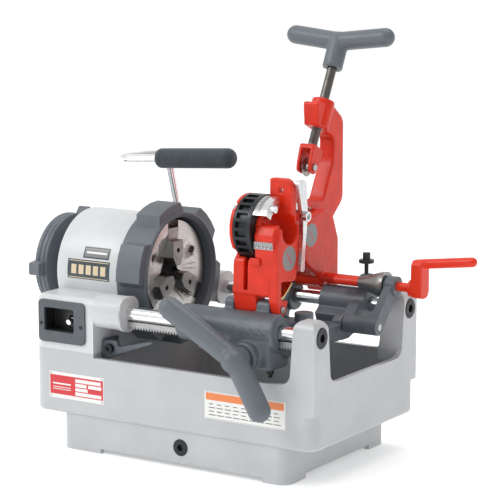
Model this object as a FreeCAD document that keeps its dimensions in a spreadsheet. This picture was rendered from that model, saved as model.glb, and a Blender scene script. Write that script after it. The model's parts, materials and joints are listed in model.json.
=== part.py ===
"""Bench pipe threading machine: cast base, hollow spindle with two scroll chucks, and a
carriage on two bars that carries a die head, a pipe cutter and a reamer.

Lengths are millimetres. Machine frame: X runs along the spindle from the chuck to the
carriage, -Y faces the operator, Z = 0 is the bench. Every node is then moved by the
datum, so that the part's origin lies on the bench under the centre of its overall box.
"""
import FreeCAD
import Part
import math
import os
import re

DIMENSIONS = {
    # datum: machine centre to the part's origin
    "datum_x": -32.5, "datum_y": -18.15,
    # base casting
    "tray_half": 235, "tray_depth": 143, "tray_low": 52, "tray_top": 139, "tray_floor": 62,
    "wall": 8, "tray_corner": 20, "skirt_half": 190, "skirt_depth": 138, "foot_recess": 7,
    "post_top": 229, "post_foot": 203, "drain_x": 18, "drain_z": 29, "drain_radius": 12,
    # headstock case
    "case_low": 145, "case_top": 222, "case_right": -127, "barrel_left": -237, "barrel_right": -124,
    "barrel_radius": 85, "spindle_z": 244,
    # guide bars
    "bar_y": 123, "bar_z": 205, "bar_radius": 10, "boss_radius": 24.5, "boss_right": -78,
    # spindle and chucks
    "spindle_radius": 30, "pipe_bore": 21, "bearing_outer": 41, "chuck_radius": 77,
    "ring_left": -123.5, "ring_right": -72, "ring_bore": 82, "ring_outer": 91, "lobe_outer": 104,
    "jaw_width": 25, "jaw_tip": 12, "rear_hub_size": 44, "slot_gap": 0.3,
    # drive
    "gear_module": 1.5, "spindle_teeth": 80, "counter_small_teeth": 14, "counter_large_teeth": 36,
    "motor_teeth": 24, "counter_z": 173.5, "motor_z": 128.5, "backlash": 0.35, "motor_radius": 38,
    # carriage
    "hub_left": 15, "hub_right": 172, "front_hub_radius": 25, "rear_hub_radius": 22,
    "run_gap": 0.05, "pinion_x": 134, "pinion_z": 174, "pinion_teeth": 16,
    # die head hinge, cutter hinge and reamer pivot
    "die_hinge_y": -108, "die_hinge_z": 233, "die_lift": 79.8, "cut_hinge_y": 124, "cut_hinge_z": 236,
    "ream_pivot_y": 45.6, "ream_pivot_z": 190, "ream_y": 95, "ream_z": 240.5, "pin_radius": 5,
    # die head
    "die_left": 96, "cam_left": 101, "cam_right": 129, "die_right": 165, "head_radius": 45,
    "head_core": 30, "head_bore": 20, "die_width": 10,
    # cutter
    "cut_x": 60, "cut_tilt": 27, "cut_pipe_y": 109.7, "cut_pipe_z": 359.4, "screw_radius": 7,
    # handles
    "grip_radius": 14.5, "rod_radius": 6,
}

doc = FreeCAD.newDocument("pipe_threading_machine")
sheet = doc.addObject("Spreadsheet::Sheet", "dims")
for row, (alias, value) in enumerate(DIMENSIONS.items(), start=1):
    sheet.set(f"A{row}", alias)
    sheet.set(f"B{row}", str(value))
    sheet.setAlias(f"B{row}", alias)
doc.recompute()

ALIAS = re.compile(r"\b(" + "|".join(DIMENSIONS) + r")\b")
nodes = {}


def dim(alias):
    """The value of one cell."""
    return float(sheet.get(alias))


def value(term):
    """A number, or a formula of cell names, as a float."""
    if not isinstance(term, str):
        return float(term)
    total = 0.0
    for sign, piece in re.findall(r"([+-]?)\s*([A-Za-z_0-9./*]+)", term):
        product = 1.0
        for factor in re.findall(r"[*/]?[A-Za-z_0-9.]+", piece):
            name = factor.lstrip("*/")
            number = dim(name) if name in DIMENSIONS else float(name)
            product = product / number if factor[0] == "/" else product * number
        total += -product if sign == "-" else product
    return total


def bind(obj, prop, term):
    """Set a property from a number, or bind it to a formula of the sheet's cells."""
    if isinstance(term, str):
        obj.setExpression(prop, ALIAS.sub(r"dims.\1", term))
    elif "." in prop:
        obj.setExpression(prop, str(term))
    else:
        setattr(obj, prop, term)


def shape(kind, **sizes):
    obj = doc.addObject(kind, "shape")
    for prop, term in sizes.items():
        bind(obj, prop, term)
    return obj


def at(obj, x, y, z, rotation=None):
    """Place a primitive; the coordinates may be formulas of the sheet's cells."""
    if rotation is not None:
        obj.Placement = FreeCAD.Placement(FreeCAD.Vector(), rotation)
    for axis, term in zip("xyz", (x, y, z)):
        bind(obj, f"Placement.Base.{axis}", term)
    return obj


def box(x0, x1, y0, y1, z0, z1):
    obj = shape("Part::Box", Length=f"({x1}) - ({x0})", Width=f"({y1}) - ({y0})",
                Height=f"({z1}) - ({z0})")
    return at(obj, x0, y0, z0)


ALONG = {
    "X": FreeCAD.Rotation(FreeCAD.Vector(0, 1, 0), 90),
    "Y": FreeCAD.Rotation(FreeCAD.Vector(1, 0, 0), -90),
    "Z": FreeCAD.Rotation(),
}


def spot(axis, start, first, second):
    """The point at `start` along an axis; first and second are the other two coordinates."""
    return {"X": (start, first, second), "Y": (first, start, second), "Z": (first, second, start)}[axis]


def rod(axis, start, end, first, second, radius):
    """Cylinder along an axis."""
    obj = shape("Part::Cylinder", Radius=radius, Height=f"({end}) - ({start})")
    return at(obj, *spot(axis, start, first, second), ALONG[axis])


def taper(axis, start, end, first, second, radius_start, radius_end):
    """Cone along an axis."""
    obj = shape("Part::Cone", Radius1=radius_start, Radius2=radius_end, Height=f"({end}) - ({start})")
    return at(obj, *spot(axis, start, first, second), ALONG[axis])


def ball(x, y, z, radius):
    return at(shape("Part::Sphere", Radius=radius), x, y, z)


def rod_between(start, end, radius):
    """Cylinder between two points given as numbers."""
    low, high = FreeCAD.Vector(*start), FreeCAD.Vector(*end)
    obj = shape("Part::Cylinder", Radius=radius, Height=(high - low).Length)
    turn = FreeCAD.Rotation(FreeCAD.Vector(0, 0, 1), high - low)
    obj.Placement = FreeCAD.Placement(low, turn)
    return obj


def join(*pieces):
    obj = doc.addObject("Part::MultiFuse", "join")
    obj.Shapes = list(pieces)
    obj.Refine = True
    return obj


def join_in_turn(first, *others):
    """Fuse pieces one after another, for castings where many faces meet."""
    whole = first
    for piece in others:
        whole = join(whole, piece)
        whole.Refine = False
    return whole


def cut(base, *tools):
    tool = tools[0] if len(tools) == 1 else join(*tools)
    obj = doc.addObject("Part::Cut", "cut")
    obj.Base, obj.Tool = base, tool
    obj.Refine = True
    return obj


def overlap(first, second):
    obj = doc.addObject("Part::Common", "overlap")
    obj.Base, obj.Tool = first, second
    return obj


def soften(base, radius, chosen):
    """Fillet the edges for which chosen(edge centre, edge) is true."""
    doc.recompute()
    edges = [n for n, edge in enumerate(base.Shape.Edges, start=1) if chosen(edge.BoundBox.Center, edge)]
    obj = doc.addObject("Part::Fillet", "soften")
    obj.Base = base
    obj.Edges = [(n, radius, radius) for n in edges]
    return obj


def upright(edge):
    return edge.BoundBox.XLength < 0.1 and edge.BoundBox.YLength < 0.1


def outline(corners):
    """Lines and tangent arcs round a closed outline of (u, v) or (u, v, corner radius)."""
    spots = [FreeCAD.Vector(c[0], c[1], 0) for c in corners]
    radii = [c[2] if len(c) > 2 else 0 for c in corners]
    starts, ends, arcs = [], [], []
    for n, here in enumerate(spots):
        back = (spots[n - 1] - here).normalize()
        ahead = (spots[(n + 1) % len(spots)] - here).normalize()
        if not radii[n]:
            starts.append(here)
            ends.append(here)
            arcs.append(None)
            continue
        half = back.getAngle(ahead) / 2
        reach = radii[n] / math.tan(half)
        middle = (back + ahead).normalize() * (radii[n] / math.sin(half) - radii[n])
        starts.append(here + back * reach)
        ends.append(here + ahead * reach)
        arcs.append(Part.Arc(starts[n], here + middle, ends[n]))
    pieces = []
    for n in range(len(spots)):
        if arcs[n]:
            pieces.append(arcs[n])
        after = starts[(n + 1) % len(spots)]
        if (after - ends[n]).Length > 1e-6:
            pieces.append(Part.LineSegment(ends[n], after))
    return pieces


# how a sketch drawn in (u, v) stands up: X looks at Y-Z, Y at X-Z, Z at X-Y
FACING = {
    "X": FreeCAD.Rotation(FreeCAD.Vector(0, 1, 0), FreeCAD.Vector(0, 0, 1), FreeCAD.Vector(1, 0, 0), "ZXY"),
    "Y": FreeCAD.Rotation(FreeCAD.Vector(1, 0, 0), 90),
    "Z": FreeCAD.Rotation(),
}


def body_sketch(corners):
    body = doc.addObject("PartDesign::Body", "body")
    flat = next(f for f in body.Origin.OriginFeatures if f.Role == "XY_Plane")
    sketch = body.newObject("Sketcher::SketchObject", "outline")
    sketch.AttachmentSupport = (flat, [""])
    sketch.MapMode = "FlatFace"
    sketch.addGeometry(outline([tuple(value(part) for part in corner) for corner in corners]), False)
    return body, sketch


def slab(axis, start, end, *corners):
    """Outline padded from start to end along an axis, as a PartDesign body."""
    body, sketch = body_sketch(corners)
    pad = body.newObject("PartDesign::Pad", "pad")
    pad.Profile = sketch
    bind(pad, "Length", f"({end}) - ({start})")
    foot = end if axis == "Y" else start
    return at(body, *spot(axis, foot, 0, 0), FACING[axis])


def lathe(axis, first, second, *corners):
    """Outline of (along, radius) points turned about an axis, as a PartDesign body."""
    body, sketch = body_sketch(corners)
    turned = body.newObject("PartDesign::Revolution", "turned")
    turned.Profile = sketch
    turned.ReferenceAxis = (sketch, ["H_Axis"])
    turned.Angle = 360
    facing = {"X": FreeCAD.Rotation(), "Y": FreeCAD.Rotation(FreeCAD.Vector(0, 0, 1), 90)}[axis]
    return at(body, *spot(axis, 0, first, second), facing)


def feature(solid):
    obj = doc.addObject("Part::Feature", "solid")
    obj.Shape = solid
    return obj


PLAIN = ("Part::Box", "Part::Cylinder", "Part::Cone", "Part::Sphere", "Part::Feature", "PartDesign::Body")


def node(name, *pieces, place=None):
    """Name a sub-part and move it from the machine frame to the part frame."""
    whole = pieces[0]
    if len(pieces) > 1 or whole.TypeId in PLAIN:
        whole = doc.addObject("Part::Compound", name)
        whole.Links = list(pieces)
    whole.Label = name
    datum = FreeCAD.Placement(FreeCAD.Vector(dim("datum_x"), dim("datum_y"), 0), FreeCAD.Rotation())
    whole.Placement = datum.multiply(place) if place else datum
    nodes[name] = whole
    return whole


def about_spindle(angle):
    """Turn about the spindle axis, for pieces drawn in their zero position."""
    centre = FreeCAD.Vector(0, 0, dim("spindle_z"))
    return FreeCAD.Placement(FreeCAD.Vector(), FreeCAD.Rotation(FreeCAD.Vector(1, 0, 0), angle), centre)


def raised(y, z, angle):
    """Turn about a line parallel to X through (y, z)."""
    centre = FreeCAD.Vector(0, y, z)
    return FreeCAD.Placement(FreeCAD.Vector(), FreeCAD.Rotation(FreeCAD.Vector(1, 0, 0), angle), centre)


def gear_blank(teeth, width, bore):
    """Involute spur gear about Z from z = 0, first tooth on +X, thinned by the backlash."""
    module = dim("gear_module")
    pitch = module * teeth / 2
    base = pitch * math.cos(math.radians(20))
    tip, root = pitch + 0.95 * module, pitch - 1.2 * module
    roll = math.tan(math.radians(20)) - math.radians(20)
    half = math.pi / (2 * teeth) - dim("backlash") / (2 * pitch) + roll
    start = max(base, root)
    points = []
    for n in range(teeth):
        middle = 2 * math.pi * n / teeth
        flank = []
        for step in range(4):
            radius = start + (tip - start) * step / 3
            spread = math.sqrt(max(0.0, (radius / base) ** 2 - 1))
            flank.append((radius, half - (spread - math.atan(spread))))
        points.append((root, middle - flank[0][1]))
        points += [(radius, middle - angle) for radius, angle in flank]
        points += [(radius, middle + angle) for radius, angle in reversed(flank)]
        points.append((root, middle + flank[0][1]))
    wire = [FreeCAD.Vector(r * math.cos(a), r * math.sin(a), 0) for r, a in points]
    solid = Part.Face(Part.makePolygon(wire + wire[:1])).extrude(FreeCAD.Vector(0, 0, width))
    if bore:
        solid = solid.cut(Part.makeCylinder(bore, width))
    return solid


def gear(axis, start, width, first, second, teeth, bore, turn=0.0):
    """A gear along X or Y whose first tooth is turned by `turn` degrees."""
    obj = feature(gear_blank(teeth, width, bore))
    spin = FreeCAD.Rotation(FreeCAD.Vector(0, 0, 1), turn)
    where = FreeCAD.Vector(*spot(axis, start, first, second))
    obj.Placement = FreeCAD.Placement(where, ALONG[axis].multiply(spin))
    return obj


# ---------------------------------------------------------------- base
def base_casting():
    skirt = box("-skirt_half", "skirt_half", "-skirt_depth", "skirt_depth", 0, "tray_low + 1")
    skirt = soften(skirt, 18, lambda c, e: upright(e))
    hollow = box("wall - skirt_half", "skirt_half - wall", "wall - skirt_depth", "skirt_depth - wall",
                 -1, "tray_low")
    long_recess = box(-120, 152, -150, 150, -1, "foot_recess")
    side_recess = box(-200, 200, -88, 88, -1, "foot_recess")
    skirt = cut(skirt, hollow, long_recess, side_recess)
    tray = box("-tray_half", "tray_half", "-tray_depth", "tray_depth", "tray_low", "tray_top")
    tray = soften(tray, dim("tray_corner"), lambda c, e: upright(e))
    low = dim("tray_low")
    tray = soften(tray, 6, lambda c, e: c.z < low + 0.1)
    raise_left = box("-tray_half", "case_right", "-tray_depth", "tray_depth", "tray_top - 1", "case_low")
    raise_left = soften(raise_left, dim("tray_corner"), lambda c, e: upright(e) and c.x < -200)
    posts = [post(side) for side in (-1, 1)]
    whole = join(skirt, tray, raise_left, *posts)
    basin = box("case_right", "tray_half - wall", "wall - tray_depth", "tray_depth - wall", "tray_floor", 300)
    basin = soften(basin, 13, lambda c, e: upright(e))
    # the basin leaves the posts' upper ends whole
    keep = join(*[post_core(side) for side in (-1, 1)])
    motor_bay = box("wall - tray_half", "case_right - wall", "wall - tray_depth", "tray_depth - wall",
                    "tray_floor", 300)
    bars = [rod("X", 190, 227, f"{side}*bar_y", "bar_z", "bar_radius") for side in (-1, 1)]
    heads = [rod("X", 228.5, 240, f"{side}*bar_y", "bar_z", 14.4) for side in (-1, 1)]
    shanks = [rod("X", 226, 230, f"{side}*bar_y", "bar_z", 6) for side in (-1, 1)]
    drain = rod("Y", -150, "wall - skirt_depth + 4", "drain_x", "drain_z", "drain_radius")
    return node("base_casting", cut(join(cut(whole, basin, motor_bay), keep), drain, *bars, *heads, *shanks))


def post_front(side):
    """Post seen along X: leans in towards the middle as it rises, with a round top."""
    edge = dim("tray_depth")
    return [(side * u, v, r) for u, v, r in (
        (edge, 100, 0), (edge, dim("post_top"), 16), (edge - 36, dim("post_top"), 16),
        (edge - 44, dim("tray_top") + 2, 14), (edge - 68, dim("tray_top"), 0), (edge - 68, 100, 0))]


def post_side():
    """Post seen along Y."""
    edge, top = dim("tray_half"), dim("post_top")
    return [(edge, 100, 0), (edge, top, 15), (dim("post_foot"), top, 12),
            (dim("post_foot") - 6, dim("tray_top") + 2, 16), (160, dim("tray_top"), 0), (160, 100, 0)]


def post(side):
    low, high = sorted((side * 60, side * dim("tray_depth")))
    return overlap(slab("X", 150, "tray_half", *post_front(side)), slab("Y", low, high, *post_side()))


def post_core(side):
    """The solid upper part of a post, which stands over the basin's corner."""
    low, high = sorted((side * 99, side * dim("tray_depth")))
    block = box("post_foot - 6", "tray_half", low, high, "tray_floor + 70", "post_top")
    return overlap(post(side), block)


def bar_boss(side):
    """Round boss that carries a bar's left end against the headstock."""
    boss = rod("X", "case_right", "boss_right", f"{side}*bar_y", "bar_z", "boss_radius")
    boss = soften(boss, 3, lambda c, e: c.x > -80 and e.BoundBox.YLength > 30)
    flat = box("boss_right - 7", "boss_right", f"{side}*bar_y - 22", f"{side}*bar_y + 22",
               "bar_z - 30", "bar_z + 23")
    rim = rod("X", "boss_right - 7", "boss_right", f"{side}*bar_y", "bar_z", "boss_radius + 1.5")
    ring = overlap(flat, rim)
    return cut(join(boss, ring), rod("X", -140, 0, f"{side}*bar_y", "bar_z", "bar_radius"))


def headstock_case():
    block = box("-tray_half", "case_right", "-tray_depth", "tray_depth", "case_low", "case_top")
    block = soften(block, dim("tray_corner"), lambda c, e: upright(e) and c.x < -200)
    top = dim("case_top")
    block = soften(block, 11, lambda c, e: c.z > top - 0.5 and c.x < -130)
    barrel = rod("X", "barrel_left", "barrel_right", 0, "spindle_z", "barrel_radius")
    barrel = soften(barrel, 4, lambda c, e: e.BoundBox.YLength > 100)
    gear_room = rod("X", -217, -141, 0, "spindle_z", "barrel_radius - 10")
    drive_room = box("wall - tray_half", "case_right - wall", "wall - tray_depth", "tray_depth - wall",
                     "case_low - 1", 208)
    spindle_hole = rod("X", -250, -100, 0, "spindle_z", "spindle_radius + 1.5")
    pockets = [rod("X", -229, -217, 0, "spindle_z", "bearing_outer"),
               rod("X", -141, -129, 0, "spindle_z", "bearing_outer")]
    rear_boss = rod("X", "1 - tray_half", -217, 0, "spindle_z", "bearing_outer + 9")
    front_boss = rod("X", -141, "case_right", 0, "spindle_z", "bearing_outer + 9")
    counter_boss = rod("X", -143, "case_right - 1", 0, "counter_z", 13)
    counter_hole = rod("X", -150, -131, 0, "counter_z", "6 + run_gap")
    bar_holes = [rod("X", -140, -120, f"{side}*bar_y", "bar_z", "bar_radius") for side in (-1, 1)]
    bar_seats = [rod("X", -137, "case_right", f"{side}*bar_y", "bar_z", 17) for side in (-1, 1)]
    window = slab("Y", -150, "10 - tray_depth", (-213, 170, 3), (-158, 170, 3), (-158, 206, 3), (-213, 206, 3))
    stem_seat = rod("Z", 206, "case_top", -166, 126, 12)
    stem_hole = rod("Z", 200, 240, -166, 126, "rod_radius")
    screw_holes = [rod("Y", -150, "5 - tray_depth", x, 181, 2.4) for x in (-217, -146.5)]
    whole = cut(join(block, barrel), gear_room, drive_room)
    whole = join(whole, rear_boss, front_boss, counter_boss, stem_seat, *bar_seats)
    node("headstock_case", cut(whole, spindle_hole, *pockets, counter_hole, *bar_holes, window, stem_hole,
                             *screw_holes))


def guide_bars():
    for side, name in ((-1, "front_guide_bar"), (1, "rear_guide_bar")):
        bar = rod("X", -137, 226.5, f"{side}*bar_y", "bar_z", "bar_radius")
        node(name, cut(bar, rod("X", 212, 230, f"{side}*bar_y", "bar_z", 5)))
    bolts = []
    for side in (-1, 1):
        head = rod("X", 228.5, 236, f"{side}*bar_y", "bar_z", 14)
        head = soften(head, 1.2, lambda c, e: c.x > 235.5)
        corners = [(side * dim("bar_y") + 6.2 * math.cos(math.radians(60 * n)),
                    dim("bar_z") + 6.2 * math.sin(math.radians(60 * n))) for n in range(6)]
        bolts.append(join(cut(head, slab("X", 230.5, 240, *corners)),
                          rod("X", 213, 229, f"{side}*bar_y", "bar_z", 5)))
    node("bar_end_bolts", *bolts)
    node("bar_bosses", bar_boss(-1), bar_boss(1))


def switch_set():
    front = -dim("tray_depth")
    plate = slab("Y", front - 3, front, (-222, 155, 7), (-140, 155, 7), (-140, 216, 7), (-222, 216, 7))
    opening = slab("Y", front - 5, front + 5, (-212, 171, 3), (-159, 171, 3), (-159, 205, 3), (-212, 205, 3))
    holes = [rod("Y", front - 5, front + 5, x, z, 2.6) for x, z in ((-217, 181), (-146.5, 181))]
    node("switch_plate", cut(plate, opening, *holes))
    node("switch_screws", *[rod("Y", front - 4, front + 5, x, z, 2.4) for x, z in ((-217, 181), (-146.5, 181))])
    tub = slab("Y", front, front + 26, (-212.5, 170.5, 3), (-158.5, 170.5, 3), (-158.5, 205.5, 3),
               (-212.5, 205.5, 3))
    inside = slab("Y", front - 1, front + 22, (-211, 172, 3), (-160, 172, 3), (-160, 204, 3), (-211, 204, 3))
    bezel = rod("Y", front + 12, front + 22, -173, 188, 9.5)
    bezel_hole = rod("Y", front + 10, front + 30, -173, 188, 6)
    node("switch_box", cut(join(cut(tub, inside), bezel), bezel_hole))
    lever = join(taper("Y", front + 3, front + 15, -173, 188, 4, 2.6), ball(-173, front + 15, 188, 4.6))
    node("switch_toggle", lever, place=raised(front + 15, 188, 14))


def base_fittings():
    plug = rod("Y", -139, "wall - skirt_depth + 4", "drain_x", "drain_z", "drain_radius")
    plug = soften(plug, 1, lambda c, e: c.y < -138.5)
    socket = [(dim("drain_x") + 5 * math.cos(math.radians(60 * n)),
               dim("drain_z") + 5 * math.sin(math.radians(60 * n))) for n in range(6)]
    node("drain_plug", cut(plug, slab("Y", -145, -134, *socket)))
    arm = slab("Y", -124, -116, (-127, 134, 3), (-127, 163, 3), (-100, 163, 3), (-98, 155, 2), (-42, 169, 1.5),
               (-38, 166, 1.2), (-98, 144, 3), (-120, 134, 3))
    foot = box("case_right", -122, -120, -88, 134, 163)
    node("stop_arm", cut(join(arm, foot), rod("Y", -130, -110, -111, 152, 4)))
    bolt = join(rod("Y", -130, -124, -111, 152, 6.5), rod("Y", -124, -113, -111, 152, 4))
    node("stop_arm_bolt", cut(bolt, rod("Y", -131, -127, -111, 152, 3)))
    pitch = math.pi * dim("gear_module")
    line = dim("pinion_z") + dim("pinion_teeth") * dim("gear_module") / 2
    low, high = line - 0.95 * dim("gear_module"), line + 1.3 * dim("gear_module")
    slope = math.tan(math.radians(20))
    wide = pitch / 2 + dim("backlash") / 2
    first = dim("pinion_x") - pitch * 44
    teeth = []
    for n in range(58):
        middle = first + n * pitch
        teeth.append((middle - wide / 2 - (line - low) * slope, middle + wide / 2 + (line - low) * slope,
                      middle - wide / 2 + (high - line) * slope, middle + wide / 2 - (high - line) * slope))
    profile = [(dim("boss_right"), dim("bar_z") - dim("bar_radius")), (dim("boss_right"), low)]
    for left, right, left_top, right_top in teeth:
        if left > dim("boss_right") + 1 and right < dim("post_foot") - 7:
            profile += [(left, low), (left_top, high), (right_top, high), (right, low)]
    profile += [(dim("post_foot") - 6, low), (dim("post_foot") - 6, dim("bar_z") - dim("bar_radius"))]
    wire = Part.makePolygon([FreeCAD.Vector(x, -dim("bar_y") - 5, z) for x, z in profile + profile[:1]])
    node("feed_rack", feature(Part.Face(wire).extrude(FreeCAD.Vector(0, 10, 0))))


def carry_handle():
    """Bent rod from the headstock's rear corner to a grip over the machine's centre."""
    corner, rise = FreeCAD.Vector(-190, 0, 405), FreeCAD.Rotation(FreeCAD.Vector(0, 1, 0), -3.5)
    spots = [FreeCAD.Vector(*p) for p in ((-166, 126, 200), (-166, 126, 310), (-172, 106, 404))]
    spots += [corner, corner + rise.multVec(FreeCAD.Vector(200, 0, 0))]
    edges, last = [], spots[0]
    for n, radius in ((1, 60), (2, 34), (3, 22)):
        back = (spots[n - 1] - spots[n]).normalize()
        ahead = (spots[n + 1] - spots[n]).normalize()
        half = back.getAngle(ahead) / 2
        reach = radius / math.tan(half)
        start, end = spots[n] + back * reach, spots[n] + ahead * reach
        middle = spots[n] + (back + ahead).normalize() * (radius / math.sin(half) - radius)
        edges += [Part.LineSegment(last, start).toShape(), Part.Arc(start, middle, end).toShape()]
        last = end
    edges.append(Part.LineSegment(last, spots[-1]).toShape())
    ring = Part.Wire(Part.makeCircle(dim("rod_radius"), spots[0], FreeCAD.Vector(0, 0, 1)))
    node("carry_handle_rod", feature(Part.Wire(edges).makePipeShell([ring], True, False)))
    radius = dim("grip_radius")
    grip = lathe("X", 0, 0, (76, 6, 0), (76, radius, 8), (209, radius, 12), (209, 0, 0), (200, 0, 0),
                 (200, 6, 0))
    node("carry_handle_grip", grip, place=FreeCAD.Placement(corner, rise))


# ---------------------------------------------------------------- drive
def drive():
    counter_z, motor_z = dim("counter_z"), dim("motor_z")
    shell = rod("X", -227, -173, 0, motor_z, "motor_radius")
    shell = soften(shell, 4, lambda c, e: e.BoundBox.YLength > 60)
    motor = join(shell, box(-222, -178, -28, 28, "tray_floor", motor_z))
    node("motor", cut(motor, rod("X", -182, -170, 0, motor_z, 5.1)))
    plate = slab("X", -173, -169, (-46, 66, 6), (46, 66, 6), (46, 160, 10), (16, 190, 10), (-16, 190, 10),
                 (-46, 160, 10))
    foot = box(-169, "case_right - wall", -46, 46, "tray_floor", 68)
    node("gear_plate", cut(join(plate, foot), rod("X", -180, -160, 0, motor_z, 8),
                           rod("X", -180, -160, 0, counter_z, "6 + run_gap")))
    shaft = rod("X", -182, -146, 0, motor_z, 5)
    small = gear("X", -155, 9, 0, motor_z, int(dim("motor_teeth")), 5)
    node("motor_pinion", join(shaft, small))
    counter = rod("X", -173, -131, 0, counter_z, 6)
    large, tiny = int(dim("counter_large_teeth")), int(dim("counter_small_teeth"))
    large = gear("X", -154, 8, 0, counter_z, large, 6, 180 / large)
    tiny = gear("X", -168, 11, 0, counter_z, tiny, 6, 180 / tiny)
    node("countershaft", join(counter, large, tiny))
    wheel = gear("X", -167, 9, 0, dim("spindle_z"), int(dim("spindle_teeth")), dim("spindle_radius"))
    node("spindle_gear", wheel)
    rings = []
    for start in (-229, -141):
        ring = rod("X", start, start + 12, 0, "spindle_z", "bearing_outer")
        rings.append(cut(ring, rod("X", start - 1, start + 13, 0, "spindle_z", "spindle_radius + run_gap")))
    node("spindle_bearings", *rings)


def jaw_slots(start, end, width, inner, outer):
    """Three slots or blocks at 120 degrees, as slabs along X."""
    half, z = width / 2, dim("spindle_z")
    blocks = []
    for angle in (90, 210, 330):
        c, s = math.cos(math.radians(angle)), math.sin(math.radians(angle))
        corners = [(c * r - s * w, z + s * r + c * w) for r, w in
                   ((inner, -half), (outer, -half), (outer, half), (inner, half))]
        blocks.append(slab("X", start, end, *corners))
    return blocks


def front_chuck():
    node("spindle_tube", cut(rod("X", -262, -113, 0, "spindle_z", "spindle_radius"),
                             rod("X", -270, -100, 0, "spindle_z", "pipe_bore")))
    disc = rod("X", -121, -88, 0, "spindle_z", "chuck_radius")
    recess = taper("X", -96, -87.9, 0, "spindle_z", 34, 62)
    seat = rod("X", -122, -113, 0, "spindle_z", "spindle_radius")
    bore = rod("X", -122, -80, 0, "spindle_z", "pipe_bore")
    slots = jaw_slots(-107, -80, dim("jaw_width") + 2 * dim("slot_gap"), 0, 90)
    holes = []
    for angle in (30, 150, 270):
        y = 56 * math.cos(math.radians(angle))
        z = dim("spindle_z") + 56 * math.sin(math.radians(angle))
        holes.append(rod("X", -100, -80, y, z, 5.5))
    node("chuck_body", cut(disc, recess, seat, bore, *slots, *holes))
    jaw = chuck_jaw()
    for n in range(3):
        copy = jaw if n == 0 else chuck_jaw()
        node(f"chuck_jaw_{n + 1}", copy, place=about_spindle(120 * n))
    ring()


def chuck_jaw():
    """Jaw in its slot above the spindle, with a wedge tip and a serrated grip face."""
    half, tip, z = dim("jaw_width") / 2, dim("jaw_tip"), dim("spindle_z")
    block = slab("X", -106.5, -79, (-half, z + 66, 2), (-half, z + tip + 12, 2), (-5, z + tip, 0),
                 (5, z + tip, 0), (half, z + tip + 12, 2), (half, z + 66, 2))
    step = box(-88, -70, -20, 20, z + 48, z + 70)
    grooves = [box(-108, -78, -6.5 + 2.6 * n, -5.3 + 2.6 * n, z + tip - 1, z + tip + 1.2) for n in range(5)]
    rings = [box(-104 + 5 * n, -102.5 + 5 * n, -8, 8, z + tip - 1, z + tip + 1) for n in range(5)]
    hole = rod("X", -86, -70, 0, z + 34, 3.5)
    return cut(block, step, *grooves, *rings, hole)


def ring():
    """Hand ring: six lobes on a barrel, with a chamfered mouth."""
    left, right = dim("ring_left"), dim("ring_right")
    outer, bore = dim("ring_outer"), dim("ring_bore")
    barrel = rod("X", left, right, 0, "spindle_z", outer)
    barrel = soften(barrel, 4, lambda c, e: c.x > right - 1 and e.BoundBox.YLength > 100)
    lobes = []
    for n in range(6):
        low, high = 45 + 60 * n - 15, 45 + 60 * n + 15
        reach = dim("lobe_outer")
        corners = [(reach * math.cos(math.radians(a)), dim("spindle_z") + reach * math.sin(math.radians(a)), 0)
                   for a in (low, low + 10, high - 10, high)]
        inner = [(r * math.cos(math.radians(a)), dim("spindle_z") + r * math.sin(math.radians(a)), 0)
                 for a, r in ((high + 7, outer - 3), (low - 7, outer - 3))]
        lobes.append(slab("X", left + 8, right - 3, *(corners + inner)))
    mouth = rod("X", left - 1, right + 1, 0, "spindle_z", bore)
    bevel = taper("X", right - 8, right + 0.1, 0, "spindle_z", bore - 2, bore + 5)
    back = rod("X", left, left + 5, 0, "spindle_z", bore + 0.5)
    hole = rod("X", left - 1, left + 8, 0, "spindle_z", 77.3)
    solid = join(cut(join(barrel, *lobes), mouth, bevel), cut(back, hole))
    node("chuck_hand_ring", solid)


def rear_chuck():
    hub = rod("X", -283, -238.5, 0, "spindle_z", "rear_hub_size")
    bore = rod("X", -290, -230, 0, "spindle_z", "pipe_bore")
    seat = rod("X", -262, -230, 0, "spindle_z", "spindle_radius")
    slots = jaw_slots(-290, -270, 12.6, 0, 60)
    node("rear_chuck_body", cut(hub, bore, seat, *slots))
    rim = dim("rear_hub_size") + dim("run_gap")
    wheel = lathe("X", 0, dim("spindle_z"), (-287, 48, 0), (-287, 73, 3), (-280, 73, 1), (-278, 71, 1),
                  (-276, 73, 1), (-272, 73, 1), (-270, 71, 1), (-268, 73, 0.5), (-265, 73, 2),
                  (-265, rim, 0), (-284, rim, 0), (-284, 48, 0))
    lugs = []
    for angle in (180, 300, 60):
        c, s = math.cos(math.radians(angle)), math.sin(math.radians(angle))
        corners = [(c * r - s * w, dim("spindle_z") + s * r + c * w, q) for r, w, q in
                   ((70, -11, 0), (87, -9, 3), (87, 9, 3), (70, 11, 0))]
        lugs.append(slab("X", -286, -268, *corners))
    node("rear_chuck_wheel", join(wheel, *lugs))
    z = dim("spindle_z")
    for n in range(3):
        jaw = slab("X", -283.5, -270.3, (-6, z + 40, 0), (-6, z + 24, 0), (0, z + 19, 0), (6, z + 24, 0),
                   (6, z + 40, 0))
        node(f"rear_jaw_{n + 1}", jaw, place=about_spindle(120 * n))


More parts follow.
